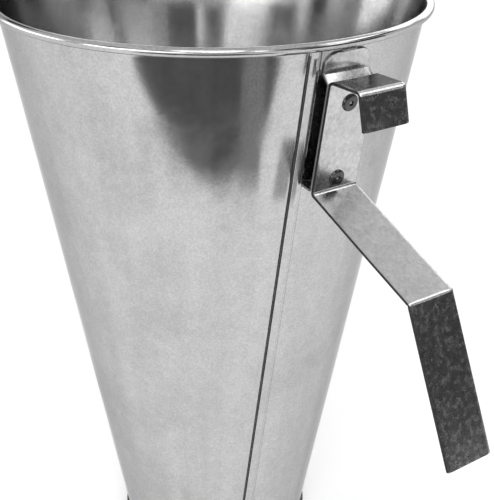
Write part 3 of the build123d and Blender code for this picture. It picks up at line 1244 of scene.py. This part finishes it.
@dataclass
class BlindRivet:
    """A set blind rivet: its hollow body and the broken mandrel inside."""

    name: str
    body_finish: bpy.types.Material
    mandrel_finish: bpy.types.Material
    hanger: HangerStrip
    drop: float
    flange_radius: float = 4.75 * MM
    flange_height: float = 1.4 * MM
    flange_edge: float = 0.35 * MM
    shank_radius: float = 2.4 * MM
    grip: float = 2.72 * MM
    bulb_radius: float = 3.6 * MM
    bulb_height: float = 3.0 * MM
    stem_radius: float = 1.3 * MM
    mouth: float = 0.5 * MM
    recess: float = 0.75 * MM
    head_radius: float = 2.1 * MM
    head_height: float = 0.6 * MM
    clearance: float = 0.03 * MM
    columns: int = 48

    def turned(
        self, name: str, section: Sequence[Point2], rough: float, loop: bool
    ) -> bpy.types.Object:
        """Turn a section about the rivet's axis.

        Args:
            name: Name of the new piece.
            section: Places as (radius, height above the strip's face).
            rough: How uneven the surface is, in metres.
            loop: Whether the section is a closed ring.

        Returns:
            The piece.
        """
        wall = self.hanger.wall
        spot = wall.along(self.hanger.hook_back, self.drop)
        face = wall.off(spot, self.hanger.thickness / 2)
        origin = Vector((face[0], 0.0, face[1]))
        outward = Vector((math.cos(wall.lean), 0.0, -math.sin(wall.lean)))
        side = Vector((0.0, 1.0, 0.0))
        up = outward.cross(side)
        rows: list[list[Vector]] = []
        for radius, height in section:
            row: list[Vector] = []
            for index in range(self.columns):
                angle = FULL_TURN * index / self.columns
                around = side * math.cos(angle) + up * math.sin(angle)
                place_at = origin + around * radius + outward * height
                push = rough * noise.noise(place_at * 900.0)
                row.append(place_at + outward * push + around * push * 0.5)
            rows.append(row)
        return make_object(name, rows, loop_rows=loop, loop_columns=True, cap_ends=not loop)

    def body_section(self) -> list[Point2]:
        """Closed section of the hollow body: domed flange, shank and set bulb."""
        bore = self.stem_radius + self.clearance
        mouth = bore + self.mouth
        dome = []
        for share in span(0.0, 1.0, 14):
            turn = share * math.pi / 2
            radius = mix(mouth, self.flange_radius, math.sin(turn))
            height = mix(self.flange_edge, self.flange_height, math.cos(turn) ** 0.9)
            dome.append((radius, height))
        lip_radius = 0.2 * MM
        lip_centre = (bore + lip_radius, self.flange_height - lip_radius)
        mouth_lip = arc(lip_centre, lip_radius, math.pi, math.pi / 2, 5)
        top = -self.grip
        bulb = []
        for share in span(0.0, 1.0, 9):
            turn = share * math.pi
            radius = mix(self.shank_radius, self.bulb_radius, math.sin(turn) ** 0.6)
            bulb.append((radius, top - self.bulb_height * share))
        under = [(self.flange_radius, 0.12 * MM), (self.flange_radius - 0.15 * MM, 0.02 * MM)]
        shank = [(self.shank_radius, 0.02 * MM), (self.shank_radius, top + 0.05 * MM)]
        bore_low = [(bore, top - self.bulb_height), (bore, -self.grip)]
        return mouth_lip + dome + under + shank + bulb + bore_low

    def mandrel_section(self) -> list[Point2]:
        """Section of the mandrel, from its broken end to its head."""
        end = self.flange_height - self.recess
        head = -self.grip - self.bulb_height - 0.02 * MM
        broken = [
            (0.15 * self.stem_radius, end - 0.05 * MM),
            (0.45 * self.stem_radius, end + 0.1 * MM),
            (0.7 * self.stem_radius, end - 0.05 * MM),
            (0.92 * self.stem_radius, end - 0.15 * MM),
            (self.stem_radius, end - 0.35 * MM),
        ]
        rest = [
            (self.stem_radius, head),
            (self.head_radius, head),
            (self.head_radius, head - 0.4 * self.head_height),
            (self.stem_radius, head - self.head_height),
            (0.2 * self.stem_radius, head - self.head_height),
        ]
        return broken + rest

    def build(self) -> None:
        """Build both pieces and dress them."""
        body = self.turned(f"{self.name}_rivet", self.body_section(), 0.04 * MM, True)
        place(body, "rivet_metal", self.body_finish, f"{self.name}_rivet_body")
        stem = self.turned(f"{self.name}_stem", self.mandrel_section(), 0.05 * MM, False)
        place(stem, "mandrel_steel", self.mandrel_finish, f"{self.name}_rivet_mandrel")


@dataclass
class FilletWeld:
    """A short lumpy weld deposit that follows the wall."""

    name: str
    wall: Wall
    corner: Point2
    direction: float
    plate: float
    leg: float = 1.3 * MM
    ripple: float = 0.25 * MM
    rows: int = 40

    def deposit(self, middle: float, half: float) -> bpy.types.Object:
        """Build one run of weld.

        Args:
            middle: Angle about Z of its middle.
            half: Half of the angle that it spans.

        Returns:
            The piece.
        """
        root = self.wall.off(self.wall.along(self.corner, self.direction * 0.02 * MM), 0.04 * MM)
        wall_toe = self.wall.along(root, self.direction * self.leg)
        plate_toe = self.wall.off(root, self.plate)
        root_at, low, high = Vector(root), Vector(wall_toe), Vector(plate_toe)
        rows: list[list[Vector]] = []
        for index, share in enumerate(span(-1.0, 1.0, self.rows)):
            turn = middle + half * share
            full = math.sqrt(max(0.02, 1.0 - share * share)) ** 0.7
            wave = 1.0 + self.ripple / self.leg * math.sin(9.0 * share + index)
            row: list[Vector] = []
            for step in span(0.0, 1.0, 9):
                chord = low.lerp(high, step)
                bulge = (chord - root_at) * (0.85 + 0.5 * math.sin(math.pi * step) * wave) * full
                spot = root_at + bulge
                seed = Vector((turn * 300.0, step * 3.0, spot.y * 200.0))
                jitter = self.ripple * 0.5 * noise.noise(seed)
                spot = spot + (chord - root_at).normalized() * jitter
                row.append(Vector((spot.x * math.cos(turn), spot.x * math.sin(turn), spot.y)))
            row.append(Vector((root_at.x * math.cos(turn), root_at.x * math.sin(turn), root_at.y)))
            rows.append(row)
        return make_object(self.name, rows, loop_columns=True, cap_ends=True, sharp_degrees=60.0)


@dataclass
class Welds:
    """The weld along the ear's top edge and the two tacks under the plate's lip."""

    finish: bpy.types.Material
    standoff: StandoffPlate
    ear_width: float = 10.0 * MM
    lip_width: float = 5.0 * MM
    lip_spacing: float = 20.0 * MM

    def build(self) -> None:
        """Build the deposits and dress them."""
        plate = self.standoff
        wall = plate.wall
        corners = plate.corners()
        ear = wall.off(corners[0], -plate.thickness / 2)
        up = FilletWeld("ear_weld_bead", wall, ear, -1.0, plate.thickness)
        half = self.ear_width / wall.radius(ear[1]) / 2
        place(up.deposit(0.0, half), "weld_metal", self.finish, "ear_weld")
        middle = plate.gap + plate.thickness / 2
        lip = wall.off(wall.along(corners[3], plate.thickness / 2), -middle + plate.contact)
        half = self.lip_width / wall.radius(lip[1]) / 2
        turn = self.lip_spacing / wall.radius(lip[1]) / 2
        for side, label in ((-1.0, "left"), (1.0, "right")):
            tack = FilletWeld(f"lip_tack_{label}", wall, lip, 1.0, plate.thickness)
            place(tack.deposit(side * turn, half), "weld_metal", self.finish, "lip_welds")


# ---------------------------------------------------------------------------------------------
# Studio
# ---------------------------------------------------------------------------------------------


def stage_card(
    name: str, corners: Sequence[tuple[float, float, float]], finish: bpy.types.Material, hidden: bool
) -> bpy.types.Object:
    """Add a flat card to the studio.

    Args:
        name: Its name.
        corners: Its corners in order.
        finish: Its material.
        hidden: Whether only reflections show it.

    Returns:
        The card.
    """
    mesh = bpy.data.meshes.new(name)
    mesh.from_pydata([tuple(corner) for corner in corners], [], [list(range(len(corners)))])
    card = bpy.data.objects.new(name, mesh)
    bpy.context.scene.collection.objects.link(card)
    dress(card, finish)
    if hidden:
        card.visible_camera = False
        card.visible_diffuse = False
        card.visible_shadow = False
    return card


@dataclass(frozen=True)
class RingCard:
    """An upright card in the ring round the object, placed by angles seen from the rim."""

    name: str
    turn: float
    spread: float
    low: float
    high: float

    def stand(self, ring: float, eye: float, finish: bpy.types.Material) -> None:
        """Stand the card.

        Args:
            ring: How far it stands from the funnel's axis.
            eye: Height that its lower and upper angles are measured from.
            finish: Its material.
        """
        angle = math.radians(self.turn)
        middle = Vector((math.cos(angle), math.sin(angle))) * ring
        side = Vector((-math.sin(angle), math.cos(angle))) * ring * math.tan(math.radians(self.spread))
        low = max(0.01, eye + ring * math.tan(math.radians(self.low)))
        high = eye + ring * math.tan(math.radians(self.high))
        corners = []
        for sign, height in ((-1, low), (1, low), (1, high), (-1, high)):
            spot = middle + side * sign
            corners.append((spot.x, spot.y, height))
        stage_card(self.name, corners, finish, True)


@dataclass
class Studio:
    """Pale floor, soft light from above, dark cards for the metal to reflect, and the camera."""

    floor_size: float = 6.0
    ring: float = 2.6
    eye: float = 0.35
    lens: float = 76.98
    sensor: float = 36.0

    def world(self) -> None:
        """Fill the surroundings with soft even light."""
        world = bpy.data.worlds.new("studio")
        world.use_nodes = True
        bpy.context.scene.world = world
        background = world.node_tree.nodes["Background"]
        background.inputs["Color"].default_value = (1.0, 1.0, 1.0, 1.0)
        background.inputs["Strength"].default_value = 0.75

    def surfaces(self) -> None:
        """Lay the floor and stand the cards."""
        pale = StageFinish("pale_floor", 0.85, 0.36).build()
        ground = StageFinish("dark_ground", 0.05, 0.07).build()
        dark = StageFinish("dark_card", 0.04, 0.03).build()
        black = StageFinish("black_card", 0.02, 0.01).build()
        grey = StageFinish("grey_card", 0.1, 0.2).build()
        middling = StageFinish("middling_card", 0.3, 0.6).build()
        bright = StageFinish("bright_card", 0.8, 2.0).build()
        brilliant = StageFinish("brilliant_card", 0.8, 3.2).build()
        half = self.floor_size
        corners = [(-half, -half, 0.0), (half, -half, 0.0), (half, half, 0.0), (-half, half, 0.0)]
        stage_card("floor", corners, pale, False)
        front = math.radians(-45.0)
        ahead = Vector((math.cos(front), math.sin(front)))
        beside = Vector((-ahead.y, ahead.x))
        outline = []
        for across, out in (
            (-0.33, 0.58), (-0.04, 0.47), (0.16, 0.41), (0.31, 0.41), (0.5, 0.46), (0.8, 1.6),
            (-0.45, 1.6),
        ):
            spot = ahead * out + beside * across
            outline.append((spot.x, spot.y, 0.002))
        stage_card("dark_ground", outline, ground, True)
        strip = [(0.416, -0.141), (1.34, -0.425), (1.4, -0.136), (0.43, -0.068)]
        stage_card("grey_ground", [(x, y, 0.004) for x, y in strip], grey, True)
        for finish, cards in (
            (
                bright,
                (
                    RingCard("low_a", 125.0, 28.0, 1.0, 23.0),
                    RingCard("low_b", -135.0, 25.0, 1.0, 22.0),
                    RingCard("high_a", 105.0, 20.0, 23.0, 38.0),
                    RingCard("high_c", 162.0, 3.0, 23.0, 38.0),
                    RingCard("high_d", 33.0, 5.0, 21.0, 36.0),
                    RingCard("high_e", -10.0, 3.0, 19.0, 38.0),
                    RingCard("window", 60.0, 20.0, 38.0, 55.0),
                ),
            ),
            (brilliant, (RingCard("low_c", -72.0, 25.0, 1.0, 18.2),)),
            (middling, (RingCard("high_b", -122.0, 16.0, 22.0, 38.0),)),
            (
                dark,
                (
                    RingCard("gap_a", -50.0, 12.0, 17.5, 38.0),
                    RingCard("gap_b", -86.0, 6.0, 20.5, 38.0),
                    RingCard("gap_c", 182.0, 14.0, 24.0, 38.0),
                ),
            ),
            (
                black,
                (
                    RingCard("gap_d", 145.0, 10.0, 23.5, 38.0),
                    RingCard("gap_e", 60.0, 16.0, 22.0, 36.0),
                    RingCard("gap_f", 10.0, 12.0, 19.0, 38.0),
                    RingCard("dark_side", 33.0, 25.0, -9.0, 16.5),
                ),
            ),
        ):
            for card in cards:
                card.stand(self.ring, self.eye, finish)

    def light(self, name: str, place_at: Vector, aim: Vector, size: float, power: float) -> None:
        """Hang a square soft light.

        Args:
            name: Its name.
            place_at: Where it hangs.
            aim: The point that it faces.
            size: Its side length.
            power: Its power in watts.
        """
        data = bpy.data.lights.new(name, "AREA")
        data.size = size
        data.energy = power
        lamp = bpy.data.objects.new(name, data)
        bpy.context.scene.collection.objects.link(lamp)
        lamp.location = place_at
        lamp.rotation_euler = (aim - place_at).to_track_quat("-Z", "Y").to_euler()

    def camera(self) -> None:
        """Place the camera."""
        data = bpy.data.cameras.new("camera")
        data.sensor_fit = "HORIZONTAL"
        data.sensor_width = self.sensor
        data.lens = self.lens
        camera = bpy.data.objects.new("camera", data)
        bpy.context.scene.collection.objects.link(camera)
        heading, pitch, roll = 2.5171, -0.4473, 0.0095
        ahead = Vector(
            (math.cos(pitch) * math.cos(heading), math.cos(pitch) * math.sin(heading), math.sin(pitch))
        )
        right = ahead.cross(Vector((0.0, 0.0, 1.0))).normalized()
        up = right.cross(ahead)
        turned_right = right * math.cos(roll) + up * math.sin(roll)
        turned_up = up * math.cos(roll) - right * math.sin(roll)
        facing = Matrix((turned_right, turned_up, -ahead)).transposed().to_4x4()
        camera.matrix_world = Matrix.Translation(Vector((0.51223, -0.3427, 0.49883))) @ facing
        bpy.context.scene.camera = camera
        bpy.context.scene.view_settings.view_transform = "Standard"

    def build(self) -> None:
        """Set up the whole studio."""
        self.world()
        self.surfaces()
        middle = Vector((0.0, 0.0, 0.2))
        self.light("front_light", Vector((1.2, -0.85, 1.7)), middle, 0.9, 12.0)
        self.camera()


def dress_rim_wire(finish: bpy.types.Material) -> None:
    """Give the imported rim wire, which stays as it is, its finish."""
    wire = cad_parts["rim_wire"]
    dress(wire, finish)
    LOG.info("rim_wire: kept, slot steel_wire")


def main() -> None:
    """Build and dress every piece, then the studio."""
    logging.basicConfig(level=logging.INFO, format="%(name)s %(message)s")
    finishes = Finishes.build()
    cone = ConeShell(finishes.sheet, finishes.seam_gap_shade)
    cone.build()
    dress_rim_wire(finishes.wire)
    OutletTrim(finishes.rubber, cone.wall).build()
    hanger = HangerStrip(finishes.bracket, finishes.cut_edge, cone.wall)
    hanger.build()
    standoff = StandoffPlate(finishes.bracket, finishes.dull_edge, cone.wall, hanger)
    standoff.build()
    for name, drop in (("upper", 13.0 * MM), ("lower", 57.0 * MM)):
        BlindRivet(name, finishes.rivet, finishes.mandrel, hanger, drop).build()
    Welds(finishes.weld, standoff).build()
    Studio().build()


if __name__ == "__main__":
    main()
